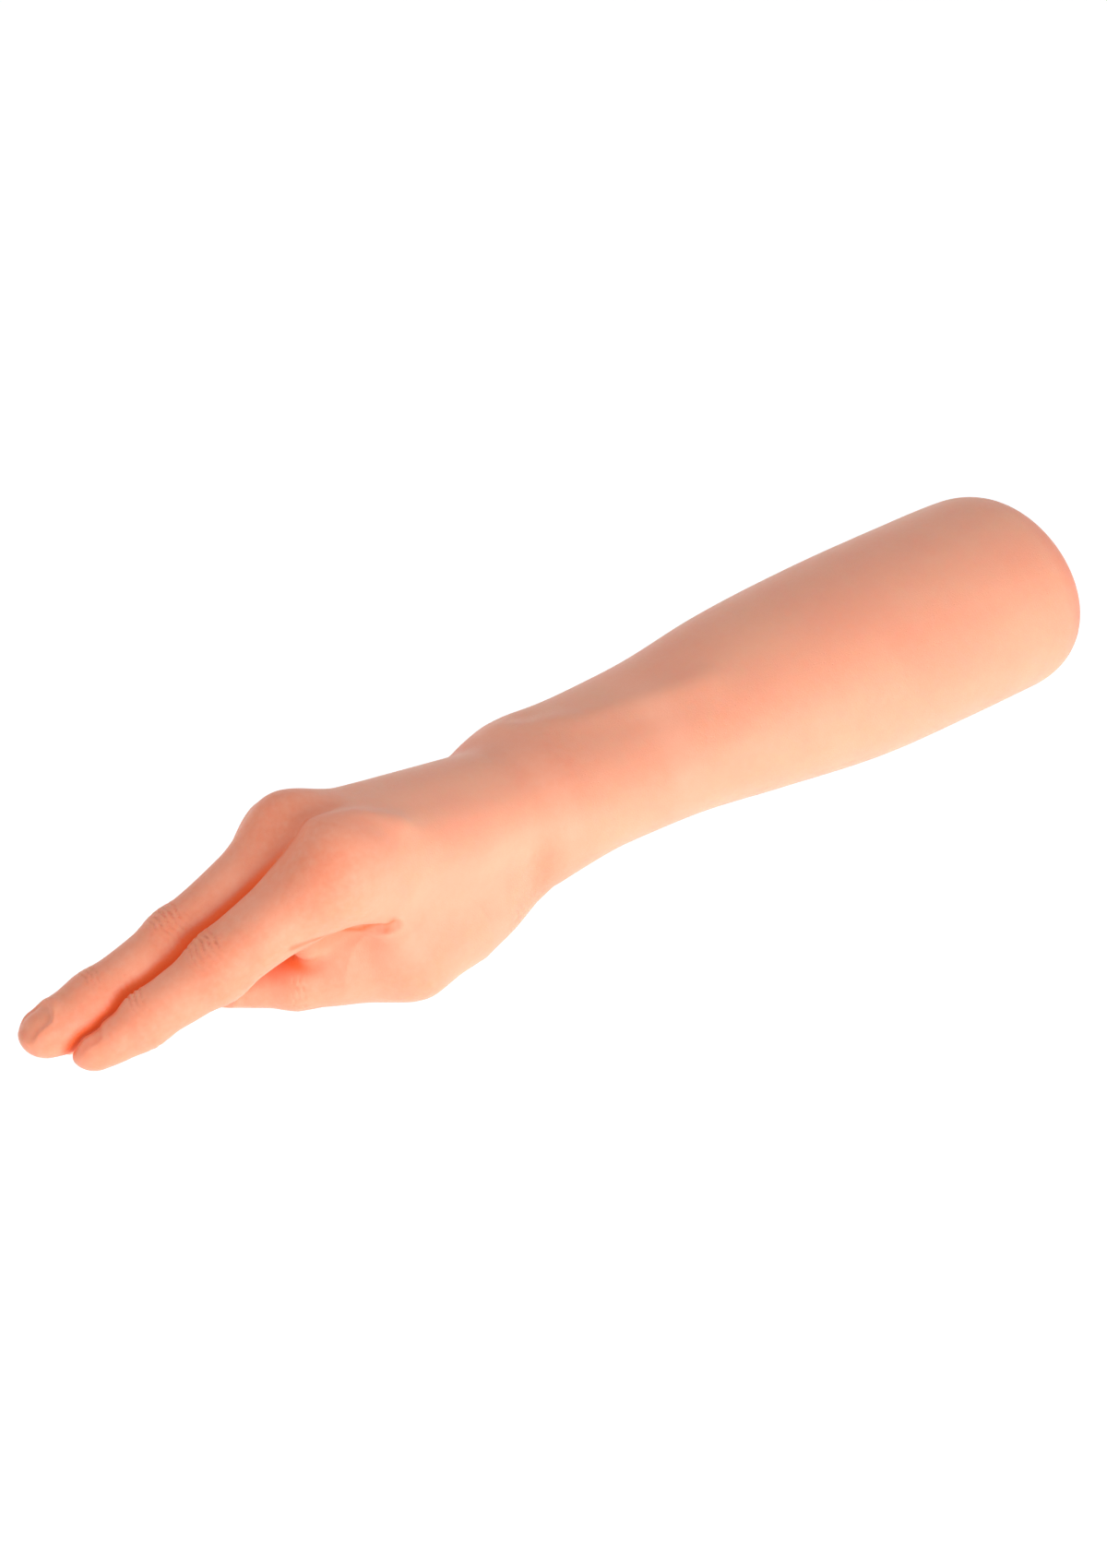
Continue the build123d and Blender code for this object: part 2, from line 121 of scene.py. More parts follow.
# How far the middle of the flesh sits from each joint, where the fingers press on each other. UNDER leads
# below the middle finger, and DOWN leads away from it over the index finger's free side.
UNDER = np.array((0.5, 0.7, -0.5))
DOWN = np.array((0.24, -0.71, -0.66))
SHIFTS = {
    "index": (0, 0.8 * UNDER + 1.0 * DOWN, 3.0 * UNDER + 1.0 * Z + 0.9 * DOWN, (0.2, 3.0, -1.5)),
    "middle": (0, -1.5 * UNDER + 0.8 * DOWN, -3.2 * UNDER, -4.0 * UNDER + 0.8 * Z),
    "ring": (0.3 * Z, -2.8 * Z, -3.2 * Z, -3.2 * Z),
    "little": (0, -1.0 * Z, -1.5 * Z, -1.5 * Z),
    "thumb": (0, np.array((-4.0, 0.3, 0.6)), 0, 0),
}
POINTS = {name: [p + s for p, s in zip(digit_points(name), SHIFTS[name])] for name in DIGITS}
WRIST = JOINTS["wrist_bend"]


def smooth_min(a, b, k):
    h = np.maximum(k - np.abs(a - b), 0) / k
    return np.minimum(a, b) - h * h * k / 4


def smooth_max(a, b, k):
    return -smooth_min(-a, -b, k)


def curve(x, stations, values):
    """A smooth curve through values at rising stations, flat beyond its ends."""
    xs, ys = np.array(stations, float), np.array(values, float)
    slopes = np.gradient(ys, xs)
    slopes[0] = slopes[-1] = 0
    x = np.clip(x, xs[0], xs[-1])
    i = np.clip(np.searchsorted(xs, x) - 1, 0, len(xs) - 2)
    width = xs[i + 1] - xs[i]
    t = (x - xs[i]) / width
    rise = ys[i] * (2 * t**3 - 3 * t**2 + 1) + ys[i + 1] * (3 * t**2 - 2 * t**3)
    return rise + width * (slopes[i] * (t**3 - 2 * t**2 + t) + slopes[i + 1] * (t**3 - t**2))


def tube(p, a, b, ra, rb, squeeze=1.0, side=Y, waist=0.0):
    """A round-ended cone from a to b. Squeeze narrows it along side, and waist thins its middle."""
    d = b - a
    v = p - a
    t = np.clip(v @ d / (d @ d), 0, 1)
    r = ra + (rb - ra) * t - waist * 4 * t * (1 - t)
    v = v - t[:, None] * d
    if squeeze != 1.0:
        v = v + ((1 / squeeze - 1) * (v @ side))[:, None] * side
    return np.sqrt((v * v).sum(1)) - r


def bump(p, centre, size, height):
    """A soft local swelling: how far the surface moves out, or in if the height is negative."""
    v = p - centre
    return height * np.exp(-(v * v).sum(1) / size**2)


def ridge(p, line, width, height):
    """A soft ridge or, if the height is negative, a crease along a line of points."""
    best = np.full(len(p), 1e9)
    for a, b in zip(line, line[1:]):
        best = np.minimum(best, tube(p, a, b, 0, 0))
    return height * np.exp(-((best / width) ** 2))


def soft_step(x, soft):
    """0 well below zero and 1 well above it, with a soft change between."""
    return 1 / (1 + np.exp(np.clip(-x / soft, -30, 30)))


# ---- Digits: radii at the three joints and at the tip, and how far each is squeezed sideways.

RADII = {
    "index": (12.2, 9.6, 8.1, 7.2),
    "middle": (11.8, 9.3, 8.8, 6.7),
    "ring": (10.1, 8.6, 7.9, 6.8),
    "little": (9.8, 8.4, 7.6, 6.5),
    "thumb": (9.0, 10.3, 8.9, 8.0),
}
SQUEEZE = {"index": 0.95, "middle": 0.92, "ring": 0.95, "little": 0.95, "thumb": 1.0}


def finger_axes(name, i):
    """Along the i-th bone, towards the back of the digit, and along its hinge."""
    a, b = POINTS[name][i], POINTS[name][i + 1]
    along = unit(b - a)
    hinge = -AXES[f"{name}_{'base' if name == 'thumb' else 'knuckle'}_bend"]
    back = unit(np.cross(hinge, along))
    return along, back, np.cross(along, back)


def at(name, i, along, back, side):
    """A point given along a bone, towards its back and along its hinge, from its start."""
    x, y, z = finger_axes(name, i)
    return POINTS[name][i] + along * x + back * y + side * z


# How much thinner each bone's flesh is in its middle, for a finger and for the thumb.
WAISTS = ((0.7, 0.35, 0.0), (0.7, -1.3, 0.0))
# Flesh added on the palm side of each bone: share of its length, reach and height.
PADS = ((0.4, 10, 0.8), (0.5, 7, 0.5), (0.65, 8, 1.1))
# Flesh over the back of the middle and end joints: joint, reach and height.
JOINT_BUMPS = ((1, 6.5, 1.0), (2, 5.5, 0.5))
# The index finger's upper edge, given along, towards the back and along the hinge of its first bone.
INDEX_EDGE = ((1, 8.5, 7.3), (20, 7.7, 6.7), (38, 6.8, 5.9))
INDEX_EDGE_WIDTH = 4.2
INDEX_EDGE_HEIGHT = 1.3
# How far flesh reaches around the last armature link.
LINK_COVER = 5.1
# Where one finger presses into the next: the place on the last bone, towards which side, reach, height.
PRESSED = {
    "middle": (0.7, -0.7 * Y - 0.5 * Z, 8.0, 2.0),
    "index": (0.9, 0.2 * Y + 0.9 * Z, 8.0, -1.6),
}
# The nail, in shares of the tip's radius: half its width, and its ends from the tip's centre.
NAIL_HALF_WIDTH = 0.65
NAIL_BACK = 0.6
NAIL_FRONT = 0.95
NAIL_ARCH = 0.25
NAIL_LOWEST = 0.3
NAIL_DEPTHS = {"index": 0.5, "middle": 1.2, "ring": 0.5, "little": 0.5, "thumb": 0.5}


def digit_field(p, name):
    """One digit's flesh, before its neighbours press on it."""
    pts, r, s = POINTS[name], RADII[name], SQUEEZE[name]
    f = None
    for i in range(3):
        side = finger_axes(name, i)[2]
        waist = WAISTS[name == "thumb"][i]
        part = tube(p, pts[i], pts[i + 1], r[i], r[i + 1], s, side, waist)
        f = part if f is None else smooth_min(f, part, 3.0)
    for i, (where, size, out) in enumerate(PADS):
        length = np.linalg.norm(pts[i + 1] - pts[i])
        f = f - bump(p, at(name, i, where * length, -0.9 * r[i + 1], 0), size, out)
    if name in PRESSED:
        where, side, size, out = PRESSED[name]
        f = f - bump(p, pts[2] + where * (pts[3] - pts[2]) + side * r[3], size, out)
    for i, size, out in JOINT_BUMPS:
        f = f - bump(p, at(name, i, 0, 0.95 * r[i], 0), size, out)
    if name == "index":
        edge = [at(name, 0, *place) for place in INDEX_EDGE]
        f = f - ridge(p, edge, INDEX_EDGE_WIDTH, INDEX_EDGE_HEIGHT)
    return nail(p, name, f)


def link_cover(p, name):
    """Flesh that always covers the last armature link, whatever presses on it."""
    _, _, joint, link_end = link_points(name)
    return tube(p, joint, link_end, LINK_COVER, LINK_COVER)


def nail(p, name, f):
    """A nail plate sunk behind a raised fold on the back of the tip."""
    length = np.linalg.norm(POINTS[name][3] - POINTS[name][2])
    r = RADII[name][3]
    x, y, z = finger_axes(name, 2)
    v = p - POINTS[name][2]
    u, w, h = v @ x, v @ z, v @ y
    wide = NAIL_HALF_WIDTH * r
    start = length - NAIL_BACK * r + NAIL_ARCH * (w / wide) ** 2 * r
    end = length + NAIL_FRONT * r
    inside = soft_step(u - start, 0.35) * soft_step(wide - np.abs(w), 0.3)
    inside = inside * soft_step(h - NAIL_LOWEST * r, 0.5) * soft_step(end - u, 0.6)
    fold = np.exp(-(((u - start + 1.0) / 1.5) ** 2)) * np.exp(-((w / wide) ** 4)) * (h > 0)
    return f + NAIL_DEPTHS[name] * (inside - 0.55 * fold)


# ---- Forearm, wrist and palm.

# The forearm's half widths and half heights at stations along X, and how far its middle rises there. The
# middle also drifts towards the little finger's side by a share of that rise.
ARM_STATIONS = (-210, -200, -188, -172, -150, -120, -80, -45, -20, 0)
ARM_WIDTHS = (27.5, 28.2, 28.8, 28.8, 29.3, 32.6, 35.9, 36.4, 36.3, 35.4)
ARM_HEIGHTS = (17.5, 19.0, 20.4, 21.3, 22.9, 27.1, 30.6, 31.2, 31.0, 30.2)
ARM_RISE = (-2.5, -2.3, -2.0, -1.3, -0.3, 1.1, 1.8, 3.2, 4.2, 4.4)
ARM_DRIFT = 0.35
END_ROUND = 18.0
HAND_END_ROUND = 12.0


def arm_field(p):
    """The forearm, oval in section, with a rounded flat end."""
    x = p[:, 0]
    a = curve(x, ARM_STATIONS, ARM_WIDTHS)
    b = curve(x, ARM_STATIONS, ARM_HEIGHTS)
    rise = curve(x, ARM_STATIONS, ARM_RISE)
    y, z = p[:, 1] - ARM_DRIFT * rise, p[:, 2] - rise
    k0 = np.sqrt((y / a) ** 2 + (z / b) ** 2)
    k1 = np.sqrt((y / a**2) ** 2 + (z / b**2) ** 2) + 1e-9
    f = k0 * (k0 - 1) / k1
    f = smooth_max(f, x, END_ROUND)
    return smooth_max(f, ARM_STATIONS[0] - x, HAND_END_ROUND)


# Flesh from the wrist to each knuckle: where it starts, measured from the wrist, and its end radii.
METACARPALS = (
    ("index", (-10, -11, -1), 15.0, 13.3),
    ("middle", (-8, -3, 0), 15.2, 11.4),
    ("ring", (-8, 6, -5), 12.0, 9.8),
    ("little", (-10, 12.5, -8.5), 10.2, 8.8),
)
# Flesh that fills the valleys between neighbouring metacarpals: its end radius.
VALLEYS = (("index", "middle", 12.0), ("middle", "ring", 8.4), ("ring", "little", 8.0))
# The web between thumb and index finger, as strands: start, measured from the wrist, end, and end radius.
WEB = (
    ((-15, -13, -6), (-262, -26.5, -11), 10.2),
    ((-13, -12, -3), (-265, -26, -3), 10.2),
    ((-12, -12, -2), (-270, -25.5, 6), 10.8),
    ((-70, -16, -10), (-276, -17, -9), 7.8),
    ((-70, -16, -4), (-275, -18.5, -2.5), 8.4),
    ((-80, -18, -8), (-288, -18.5, -7), 5.6),
)
WEB_RADIUS = 11.0
# The knuckles' extra height and its reach.
KNUCKLES = (("index", 2.2, 7.5), ("middle", 2.6, 9), ("ring", 1.6, 8), ("little", 1.2, 7))
# Swellings around the wrist, measured from it: place, reach and height.
WRIST_BUMPS = (
    ((-8, 16, 16), 11, 1.5),
    ((-22, 16, 11), 7, 0.7),
    ((-42, -27, -25), 14, 2.4),
    ((6, -20, 8), 12, 1.0),
)


def palm_field(p):
    """The palm: metacarpals, the valleys between them, the ball of the thumb, the web and the heel."""
    f = None
    for name, root, ra, rb in METACARPALS:
        part = tube(p, WRIST + np.array(root), POINTS[name][0], ra, rb)
        f = part if f is None else smooth_min(f, part, 9.0)
    for one, other, radius in VALLEYS:
        root = WRIST + np.array((-9, -2, -2))
        end = (POINTS[one][0] + POINTS[other][0]) / 2 + np.array((13, 0, -1))
        f = smooth_min(f, tube(p, root, end, 14.0, radius), 6.0)
    thumb, middle, little = POINTS["thumb"], POINTS["middle"], POINTS["little"]
    centre = tube(p, WRIST + np.array((-14, 2, -9)), middle[0] + np.array((12, 6, -18)), 12, 10)
    f = smooth_min(f, centre, 8.0)
    thenar = tube(p, thumb[0] + np.array((4, 4, 2)), thumb[1], 11.4, 10.4, waist=-1.2)
    f = smooth_min(f, thenar, 8.0)
    for root, end, radius in WEB:
        f = smooth_min(f, tube(p, WRIST + np.array(root), np.array(end), WEB_RADIUS, radius), 5.0)
    heel = tube(p, WRIST + np.array((-18, 14, -12)), little[0] + np.array((10, -4, -5)), 11, 9.5)
    return smooth_min(f, heel, 8.0)


def swellings(p, f):
    """Knuckles, wrist bones and the ball of the thumb, and the hollow between the first two knuckles."""
    for name, height, size in KNUCKLES:
        f = f - bump(p, at(name, 0, -2.0, RADII[name][0] * 0.95, 0), size, height)
    for place, size, height in WRIST_BUMPS:
        f = f - bump(p, WRIST + np.array(place), size, height)
    between = (POINTS["index"][0] + POINTS["middle"][0]) / 2
    return f - bump(p, between + np.array((-11, 1, 8)), 9, -4.5)


# The edge down the side of the hand, from the index knuckle, and the one along the forearm, from the wrist.
HAND_EDGE = ((-3, 6, 14.5), (10, 3, 13.5), (19, -2, 9), (30, -9, -1))
ARM_EDGE = ((-14, 9, 17), (3, -2, 19), (27, -7, 21), (46, -11, 22))
# The crease between the web and the index finger.
WEB_CREASE = ((-282.0, -31.0, 1.2), (-278.3, -32.0, 0.6), (-275.6, -33.8, 0.2), (-270.5, -36.2, 0.2))


def edges(p, f):
    """The edge from the index knuckle down the side of the hand, and the one along the forearm."""
    side = [POINTS["index"][0] + np.array(v) for v in HAND_EDGE]
    f = f - ridge(p, side[:3], 4.2, 1.8) - ridge(p, side[2:], 6.0, 0.6)
    arm = [WRIST + np.array(v) for v in ARM_EDGE]
    return f - ridge(p, arm, 6.0, 1.2) - bump(p, WRIST + np.array((-6, 9, 19)), 7, -1.4)


def web_crease(p):
    """The fold where the thumb's web meets the index finger, and the soft hollow beside it."""
    root = POINTS["index"][0]
    line = [np.array(v) for v in WEB_CREASE]
    total = ridge(p, line[:3], 1.7, -4.6) + ridge(p, line[2:], 1.5, -2.4)
    total += bump(p, root + np.array((9.0, -13.0, -17.0)), 5.0, 0.9)
    return total + bump(p, root + np.array((19.0, -14.0, -19.5)), 9.0, -1.2)


TENDON_HEIGHTS = {"index": 0.35, "middle": 0.5, "ring": 0.5, "little": 0.4}
TENDON_WIDTH = 4.0


def tendons(p, f):
    """Low ridges from the wrist to each knuckle on the back of the hand."""
    start = WRIST + np.array((-20, 0, 9))
    for name, height in TENDON_HEIGHTS.items():
        knuckle = at(name, 0, -4, RADII[name][0], 0)
        f = f - ridge(p, [start, knuckle], TENDON_WIDTH, height)
    return f


# The space between digits that touch, and how far each digit gives way to its neighbours there.
GAP = 0.5
FIRMNESS = np.array((1.0, -1.0, 0.0, 0.0, 0.0))
# Rounding where skins press on each other, where a link's cover begins and where digits meet the palm.
PRESS_ROUND = 1.2
COVER_ROUND = 0.8
ROOT_ROUND = 10.0
THUMB_ROUND = 1.5
# Around its second joint the thumb is one with the palm: how strongly and how far.
THUMB_ROOT_PULL = 60.0
THUMB_ROOT_REACH = 19.0
THUMB_ROOT_FULL = 12
BUSH_CLEARANCE = 0.3
POCKET_DEPTH = 6.0
POCKET_ROUND = 0.8


def skin_field(p, gap=GAP):
    """The whole outside: below zero inside the skin. Digits that touch stay a gap apart."""
    digits = np.stack([digit_field(p, n) for n in DIGITS], 1)
    covers = np.stack([link_cover(p, n) for n in DIGITS], 1)
    body = tendons(p, edges(p, swellings(p, smooth_min(arm_field(p), palm_field(p), ROOT_ROUND))))
    thumb_root = bump(p, POINTS["thumb"][1], THUMB_ROOT_REACH, THUMB_ROOT_PULL)
    parts = []
    for i, name in enumerate(DIGITS):
        others = np.delete(digits + FIRMNESS, i, 1).min(1)
        apart = (digits[:, i] + FIRMNESS[i] - others) / 2 + gap / 2
        if name == "thumb":
            apart = np.maximum(apart, (digits[:, i] - body) / 2 + gap / 2 - thumb_root)
        part = smooth_max(digits[:, i], apart, PRESS_ROUND)
        part = smooth_max(part, gap - np.delete(covers, i, 1).min(1), COVER_ROUND)
        parts.append(smooth_min(part, covers[:, i], COVER_ROUND))
    thumb = parts.pop()
    body = smooth_max(body, (body - thumb) / 2 + gap / 2 - thumb_root, PRESS_ROUND)
    f = smooth_min(np.min(parts, 0), body, ROOT_ROUND)
    rooted = np.clip(thumb_root / THUMB_ROOT_FULL, 0, 1)
    f = smooth_min(f, thumb, THUMB_ROUND + ROOT_ROUND * rooted)
    return smooth_max(f - web_crease(p), -bush_pocket(p), POCKET_ROUND)


def bush_pocket(p):
    """Room in the flat end for the mounting bush: below zero inside it."""
    low, high = box_mm("mounting_bush")
    radius = (high[1] - low[1]) / 2 + BUSH_CLEARANCE
    away = np.hypot(p[:, 1], p[:, 2]) - radius
    return np.maximum(away, high[0] - POCKET_DEPTH - p[:, 0])


# ---- Meshing: sample near the surface, join the crossings, then slide each point onto the surface.

# Fine steps in a coarse one, and the narrowest gap in steps that the grid can't miss.
COARSE = 4
WIDE_GAP = 2.2
CORNERS = [(i, j, k) for i in (0, 1) for j in (0, 1) for k in (0, 1)]
THREADS = 4
# The farthest that a point slides in one round, and the least slope that its move is worked out from.
LONGEST_SLIDE = 0.8
LEAST_SLOPE = 0.2


def sample_grid(low, high, step, band):
    """The field on a grid, worked out only where a coarse look says that the surface is near.

    Gaps between digits are widened here so that the grid can see them."""

    def wide(p):
        return skin_field(p, WIDE_GAP * step)

    n = np.ceil((high - low) / (COARSE * step)).astype(int) + 1
    axes = [low[i] + COARSE * step * np.arange(n[i]) for i in range(3)]
    grid = np.stack(np.meshgrid(*axes, indexing="ij"), -1).reshape(-1, 3)
    rough = in_chunks(wide, grid).reshape(n)
    nearest = np.ix_(*[np.rint(np.arange(COARSE * (m - 1) + 1) / COARSE).astype(int) for m in n])
    near = (np.abs(rough) < band)[nearest]
    values = np.sign(rough)[nearest] * band
    values[near] = in_chunks(wide, low + np.argwhere(near) * step)
    return values


def in_chunks(function, p, size=20000):
    """The function over many points, a chunk at a time on several threads, with the order kept."""
    chunks = [p[i : i + size] for i in range(0, len(p), size)]
    with ThreadPoolExecutor(THREADS) as pool:
        return np.concatenate(list(pool.map(function, chunks)))


def mixed_cells(inside):
    """Which cells have grid corners both inside and outside the surface."""
    nx, ny, nz = [n - 1 for n in inside.shape]
    total = np.zeros((nx, ny, nz), np.int8)
    for i, j, k in CORNERS:
        total += inside[i : i + nx, j : j + ny, k : k + nz]
    return (total > 0) & (total < len(CORNERS))


def cell_points(values, cells):
    """The middle of the places where the surface crosses each cell's edges, as shares of the cell."""
    v = {}
    for i, j, k in CORNERS:
        v[i, j, k] = values[cells[:, 0] + i, cells[:, 1] + j, cells[:, 2] + k]
    position, count = np.zeros((len(cells), 3)), np.zeros(len(cells))
    for a in CORNERS:
        for axis in range(3):
            if a[axis]:
                continue
            b = tuple(1 if n == axis else a[n] for n in range(3))
            crosses = (v[a] < 0) != (v[b] < 0)
            t = np.where(crosses, v[a] / np.where(crosses, v[a] - v[b], 1), 0)
            point = np.tile(np.array(a, float), (len(cells), 1))
            point[:, axis] += t
            position += np.where(crosses[:, None], point, 0)
            count += crosses
    return position / count[:, None]


def crossing_quads(inside, number, axis):
    """A quad around each grid edge along one axis that the surface crosses, facing outwards."""
    u, w = (axis + 1) % 3, (axis + 2) % 3
    first = [slice(1, -1)] * 3
    first[axis] = slice(0, -1)
    second = list(first)
    second[axis] = slice(1, None)
    a, b = inside[tuple(first)], inside[tuple(second)]
    crossed = np.argwhere(a != b)
    outward = a[tuple(crossed.T)]
    base = crossed + np.array([0 if n == axis else 1 for n in range(3)])
    du, dw = np.eye(3, dtype=int)[u], np.eye(3, dtype=int)[w]
    ring = [base - du - dw, base - dw, base, base - du]
    quads = np.stack([number[tuple(corner.T)] for corner in ring], 1)
    quads[~outward] = quads[~outward][:, ::-1]
    return quads


def surface_net(values, low, step):
    """Vertices and quads where the grid's values change sign."""
    inside = values < 0
    active = mixed_cells(inside)
    cells = np.argwhere(active)
    vertices = low + (cells + cell_points(values, cells)) * step
    number = np.full(active.shape, -1)
    number[active] = np.arange(len(cells))
    return vertices, np.concatenate([crossing_quads(inside, number, axis) for axis in range(3)])


def gradient(function, p, h=0.15):
    """The function's slope at each point, from its values a little to each side."""
    g = np.empty_like(p)
    for axis in range(3):
        d = np.zeros(3)
        d[axis] = h
        g[:, axis] = (in_chunks(function, p + d) - in_chunks(function, p - d)) / (2 * h)
    return g


def onto_surface(field, p, rounds=2):
    """Points slid along the slope to where the field is zero."""
    for _ in range(rounds):
        g = gradient(field, p)
        f = in_chunks(field, p)
        move = -f[:, None] * g / np.maximum((g * g).sum(1), LEAST_SLOPE)[:, None]
        size = np.linalg.norm(move, axis=1)
        p = p + move * np.minimum(1, LONGEST_SLIDE / np.maximum(size, 1e-9))[:, None]
    return p


# ---- Fine shape that the grid is too coarse for: creases, as height above the skin.

# Creases over the back of the middle and end joints: joint, count, pitch and depth.
JOINT_CREASES = ((1, 5, 1.9, 0.5), (2, 3, 1.7, 0.35))
THUMB_CREASE_DEPTH = 0.15
# The same on the palm side, at both joints.
PALM_CREASES = 2
PALM_CREASE_PITCH = 2.4
PALM_CREASE_DEPTH = 0.5


def wrinkles(p, centre, across, along, count, pitch, reach, depth):
    """A few parallel creases: across is the line they repeat on, along is the way each one runs."""
    v = p - centre
    u = v @ across
    fade = np.exp(-((u / (0.55 * count * pitch)) ** 4)) * np.exp(-((v @ along) / reach) ** 2)
    lift = v @ np.cross(across, along)
    fade = fade * np.exp(-((lift / reach) ** 2))
    phase = u + 0.35 * np.sin(0.9 * (v @ along) + 1.3)
    return -depth * fade * np.cos(np.pi * phase / pitch) ** 6


def joint_wrinkles(p):
    """Creases over the back of each joint beyond a digit's first, and over the palm side in fingers."""
    total = np.zeros(len(p))
    for name in DIGITS:
        for i, count, pitch, depth in JOINT_CREASES:
            if name == "thumb" and i == 1:
                continue
            along, _, side = finger_axes(name, i)
            r = RADII[name][i]
            if name == "thumb":
                depth = THUMB_CREASE_DEPTH
            total += wrinkles(p, at(name, i, -0.6, r, 0), along, side, count, pitch, 0.7 * r, depth)
            if name != "thumb":
                under = at(name, i, -0.5, -r, 0)
                shape = (PALM_CREASES, PALM_CREASE_PITCH, 0.9 * r, PALM_CREASE_DEPTH)
                total += wrinkles(p, under, along, side, *shape)
    return total


def full_field(p):
    return skin_field(p) - joint_wrinkles(p)


# ---- The mesh, and the pieces that it is cut into.

FULL_STEP = 0.8
STEP = FULL_STEP
# How near the surface the grid is worked out, and how far it reaches beyond the CAD.
BAND = 7.0
MARGIN = 7.0
# Along X: where the wrist's piece begins and ends, and where its bend does.
FOREARM_SEAM = WRIST[0] + 27
PALM_SEAM = WRIST[0] - 18
WRIST_BEND = (WRIST[0] + 24, WRIST[0] - 14)
# Skin this near a digit's own flesh, and past this place on its first bone, is the digit's.
NEAR_DIGIT = {"index": 4.0, "middle": 4.0, "ring": 4.0, "little": 4.0, "thumb": 16.0}
ROOTS = {"index": -9.0, "middle": -9.0, "ring": -8.0, "little": -7.0, "thumb": -4.0}
# Up to here on its first bone, the thumb takes skin that a finger is nearer to.
THENAR = 36.0
# How far a middle or tip piece stays from other digits' skin.
SPREAD = 7.0
# Rounds of evening out a bend at the full step: at a joint, at a finger's root and along the thumb.
JOINT_ROUNDS = 12
ROOT_ROUNDS = 90
THUMB_ROUNDS = 60
PARTS = ("base", "middle", "tip")
PIECES = ["forearm", "wrist", "palm"] + [f"{name}_{part}" for name in DIGITS for part in PARTS]


def skin_mesh():
    """Points, outward directions and quads of the whole skin."""
    low, high = np.array(CAD_BOX) * MM
    low, high = low - MARGIN, high + MARGIN
    values = sample_grid(low, high, STEP, BAND)
    points, quads = surface_net(values, low, STEP)
    points = onto_surface(full_field, points)
    outward = gradient(full_field, points)
    return points, outward / np.linalg.norm(outward, axis=1)[:, None], quads


def first_piece(i):
    """The number of the i-th digit's base piece. Its middle and tip pieces come next."""
    return PIECES.index(f"{DIGITS[i]}_base")


def digit_and_part(number):
    """The digit that a piece belongs to, and 0, 1 or 2 for its base, middle or tip."""
    i, part = divmod(number - first_piece(0), len(PARTS))
    return DIGITS[i], part


def piece_numbers(p):
    """Which of PIECES each point belongs to. The fingers come after the thumb and claim skin over it."""
    number = np.where(p[:, 0] > FOREARM_SEAM, 0, np.where(p[:, 0] > PALM_SEAM, 1, 2))
    fields = np.stack([in_chunks(lambda q: digit_field(q, name), p) for name in DIGITS], 1)
    covers = np.stack([link_cover(p, name) for name in DIGITS], 1)
    nearest = np.where(covers < GAP / 2, -np.inf, fields + FIRMNESS).argmin(1)
    for i in (4, 0, 1, 2, 3):
        name = DIGITS[i]
        s = [(p - POINTS[name][k]) @ finger_axes(name, k)[0] for k in range(3)]
        half = [np.linalg.norm(POINTS[name][k + 1] - POINTS[name][k]) / 2 for k in range(2)]
        own = nearest == i
        mine = (fields[:, i] < NEAR_DIGIT[name]) & (s[0] > ROOTS[name]) & (number != 0)
        mine &= (own | (s[0] < THENAR)) if name == "thumb" else own
        number[mine] = first_piece(i)
        beyond = mine & own & (s[0] > half[0])
        number[beyond] = first_piece(i) + 1
        number[beyond & (s[1] > half[1])] = first_piece(i) + 2
    return number


def keep_apart(of_quad, quads, count):
    """Moves the middle and tip pieces of each digit back from skin that belongs to other pieces."""
    of_quad = of_quad.copy()
    for i in range(len(DIGITS)):
        base = first_piece(i)
        for number, rings in ((base + 2, 2 * SPREAD / STEP), (base + 1, SPREAD / STEP)):
            own = (of_quad >= base) & (of_quad < base + len(PARTS))
            near = np.zeros(count, bool)
            near[quads[~own]] = True
            for _ in range(round(rings)):
                hit = own & near[quads].any(1)
                near[quads[hit]] = True
            of_quad[(of_quad == number) & near[quads].any(1)] = number - 1
    return of_quad


def ramp(t):
    """From 0 to 1 as t does, with a level start and end."""
    t = np.clip(t, 0, 1)
    return t * t * (3 - 2 * t)


def hinge_weight(p, name, k):
    """0 before a digit's k-th joint and 1 after it, along the line that halves the bend."""
    after = finger_axes(name, k)[0]
    before = finger_axes(name, k - 1)[0] if k else unit(POINTS[name][0] - WRIST)
    s = (p - POINTS[name][k]) @ unit(before + after)
    reach = 0.9 * RADII[name][k]
    return ramp((s + reach) / (2 * reach))


def relax(weights, fixed, quads, rounds):
    """Evens the weights out along the skin, with the fixed ones kept."""
    a = quads.ravel()
    b = np.roll(quads, 1, axis=1).ravel()
    count = len(weights)
    degree = np.bincount(a, minlength=count) + np.bincount(b, minlength=count)
    for _ in range(rounds):
        total = np.bincount(a, weights[b], count) + np.bincount(b, weights[a], count)
        weights = np.where(fixed, weights, total / degree)
    return weights


def web_weight(number, points, others):
    """For the thumb's base: 0 where it meets still skin and 1 where it meets its own middle piece."""
    foreign = [shared for other, shared in others.items() if other != number + 1]
    still = seam_distance(points, points[np.any(foreign, 0)])
    moving = seam_distance(points, points[others[number + 1]])
    return ramp(still / (still + moving))


def bend_rounds(number):
    """How many rounds of evening out a piece's bend takes."""
    rounds = JOINT_ROUNDS
    if PIECES[number] in ("thumb_middle", "thumb_tip"):
        rounds = THUMB_ROUNDS
    elif PIECES[number].endswith("_base") and PIECES[number] != "thumb_base":
        rounds = ROOT_ROUNDS
    return round(rounds * (FULL_STEP / STEP) ** 2)


